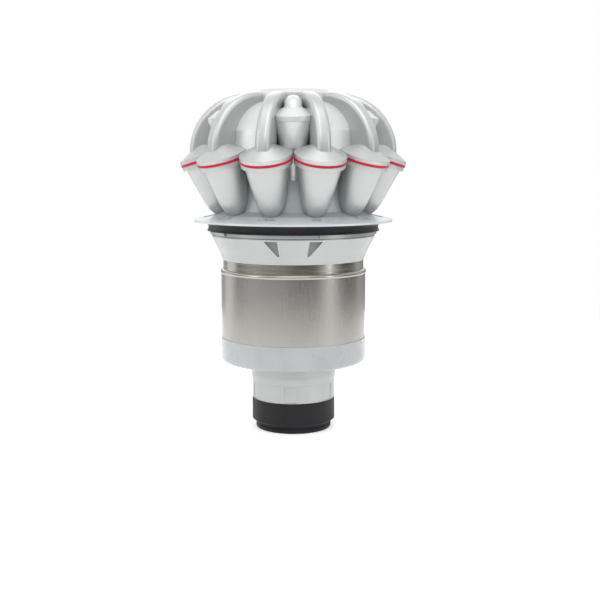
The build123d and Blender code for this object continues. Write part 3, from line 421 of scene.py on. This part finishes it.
def felt_sock():
    """A felt cup stretched over the filter's cage, drawn in between its posts and hemmed on top."""
    low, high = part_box("filter_sock")
    radius = 0.5 * (high[0] - low[0])
    height = high[2] - low[2]
    piece = add_object("felt_sock", mesh_data("felt_sock", sock_cup(low, radius, height), FELT))
    shell = piece.modifiers.new("thickness", "SOLIDIFY")
    shell.thickness = SOCK_WALL
    shell.offset = INWARDS
    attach(piece, "filter")
    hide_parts("filter_sock")


felt_sock()


# ---- stage, light and camera ---------------------------------------------------------------

FLOOR_R = 0.5
FLOOR_SIDES = 128
CAMERA_PLACE = (0.0, -0.617, 0.1585)
CAMERA_PITCH = radians(7.6)
CAMERA_YAW = -0.0064
FOCAL_LENGTH = 62.7
SENSOR_WIDTH = 36.0

# name, place, width and height, power in watts
LIGHTS = (
    ("left_softbox", (-0.95, -0.45, 0.45), (0.30, 0.80), 1.6),
    ("right_strip", (0.85, -0.50, 0.35), (0.14, 0.80), 0.9),
    ("top_softbox", (0.0, -0.35, 1.0), (0.8, 0.8), 3.0),
    ("front_softbox", (0.0, -0.95, 0.75), (0.9, 0.3), 1.6),
    ("back_softbox", (0.0, 1.0, 0.6), (0.8, 0.8), 2.0),
)

WORLD_STRENGTH = 0.8

# The ring of tones fades into a plain grey sky between these two rises, each the sine of an
# elevation.
SKY_GREY = 1.3
RING_TOP = 0.05
SKY_FOOT = 0.45

# share of a turn, from +Y through -X, -Y and +X back to +Y, and the ring's grey there
TONES = (
    (0.00, 0.45),
    (0.05, 0.95),
    (0.10, 0.40),
    (0.14, 1.80),
    (0.19, 1.60),
    (0.22, 0.25),
    (0.26, 0.65),
    (0.44, 0.50),
    (0.51, 0.18),
    (0.60, 0.12),
    (0.64, 0.95),
    (0.70, 0.75),
    (0.74, 0.12),
    (0.81, 0.30),
    (0.86, 0.95),
    (0.93, 0.40),
    (1.00, 0.45),
)


def pale_floor():
    """Round white floor that keeps only a faint shadow under the pack."""
    shader = Shader("floor", Roughness=0.75, Emission_Color=(1, 1, 1, 1), Emission_Strength=0.35)
    cloud = shader.noise(scale=3, detail=2)
    shader.set("Base Color", shader.ramp(cloud, (0.90, 0.90, 0.90), (0.93, 0.93, 0.93)))
    mesh = bmesh.new()
    bmesh.ops.create_circle(mesh, cap_ends=True, segments=FLOOR_SIDES, radius=FLOOR_R)
    floor = add_object("floor", mesh_data("floor", mesh, shader.material))
    floor.location.z = cad_box[0][2]


def softbox(name, place, size, power):
    """Rectangular studio light aimed at the middle of the pack."""
    light = bpy.data.lights.new(name, "AREA")
    light.shape = "RECTANGLE"
    light.size, light.size_y = size
    light.energy = power
    lamp = add_object(name, light)
    lamp.location = place
    aim = Vector((0, 0, CENTRE_Z)) - Vector(place)
    lamp.rotation_euler = aim.to_track_quat("-Z", "Y").to_euler()


def ring_of_tones(graph):
    """Grey of a direction: TONES along the horizon, SKY_GREY above."""
    direction = graph.add("ShaderNodeTexCoord").outputs["Generated"]
    parts = graph.add("ShaderNodeSeparateXYZ", {"Vector": direction}).outputs
    turn = graph.math("ARCTAN2", parts["X"], graph.math("MULTIPLY", parts["Y"], -1.0))
    stops = [(share, (grey, grey, grey)) for share, grey in TONES]
    ring = graph.gradient(graph.remap(turn, -pi, pi), stops)
    rise = graph.remap(parts["Z"], RING_TOP, SKY_FOOT)
    return graph.mix(rise, ring, (SKY_GREY, SKY_GREY, SKY_GREY, 1))


def studio_world():
    """A ring of tones that lights the pack and is mirrored in it. The camera itself sees white."""
    world = bpy.data.worlds.new("studio")
    bpy.context.scene.world = world
    world.use_nodes = True
    graph = Graph(world.node_tree)
    lit = graph.tree.nodes["Background"]
    lit.inputs["Strength"].default_value = WORLD_STRENGTH
    graph.tree.links.new(ring_of_tones(graph), lit.inputs["Color"])
    seen = graph.add("ShaderNodeBackground", {"Color": (1, 1, 1, 1)})
    to_camera = graph.add("ShaderNodeLightPath").outputs["Is Camera Ray"]
    shaders = {0: to_camera, 1: lit.outputs[0], 2: seen.outputs[0]}
    mixed = graph.add("ShaderNodeMixShader", shaders).outputs[0]
    graph.tree.links.new(mixed, graph.tree.nodes["World Output"].inputs["Surface"])


def make_camera():
    """The photo's view: from the front, a little above the pack's middle, and pitched down."""
    data = bpy.data.cameras.new("camera")
    data.lens = FOCAL_LENGTH
    data.sensor_width = SENSOR_WIDTH
    camera = add_object("camera", data)
    camera.location = CAMERA_PLACE
    camera.rotation_euler = (pi / 2 - CAMERA_PITCH, 0, CAMERA_YAW)
    bpy.context.scene.camera = camera


pale_floor()
studio_world()
for light in LIGHTS:
    softbox(*light)
make_camera()
bpy.context.scene.view_settings.view_transform = "Standard"
